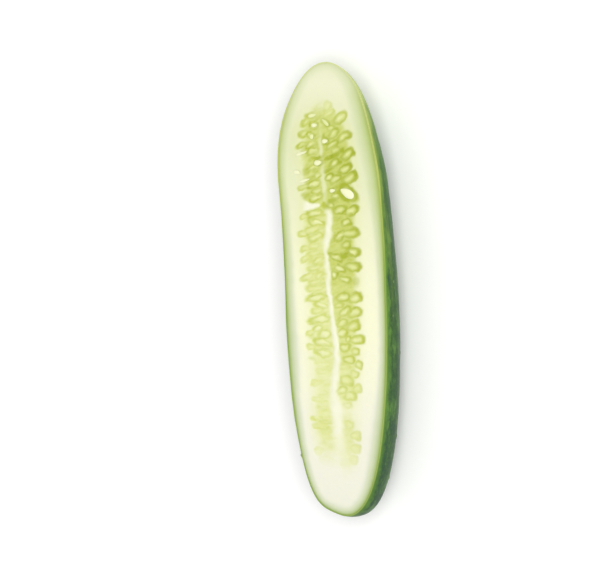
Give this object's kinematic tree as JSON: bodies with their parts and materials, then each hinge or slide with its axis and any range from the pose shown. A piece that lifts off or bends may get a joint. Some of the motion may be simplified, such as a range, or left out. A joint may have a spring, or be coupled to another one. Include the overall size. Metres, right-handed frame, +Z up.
{
  "type": "cucumber half",
  "caption": "Half of a slicing cucumber split lengthwise, seeded cut face up, resting on its rounded green skin side.",
  "frame": {"origin": "middle of the bottom of the bounding box, on the surface that the rounded side rests on", "axes": "+Z up and square to the cut face, +Y along the fruit from the stem end towards the blossom end, +X across it"},
  "size_m": [0.0502, 0.1898, 0.0268],
  "materials": {
    "cucumber_skin": "satin",
    "cucumber_flesh": "satin",
    "cucumber_seed": "satin"
  },
  "bodies": {
    "root": {"cucumber_half": "cucumber_skin"}
  },
  "joints": []
}
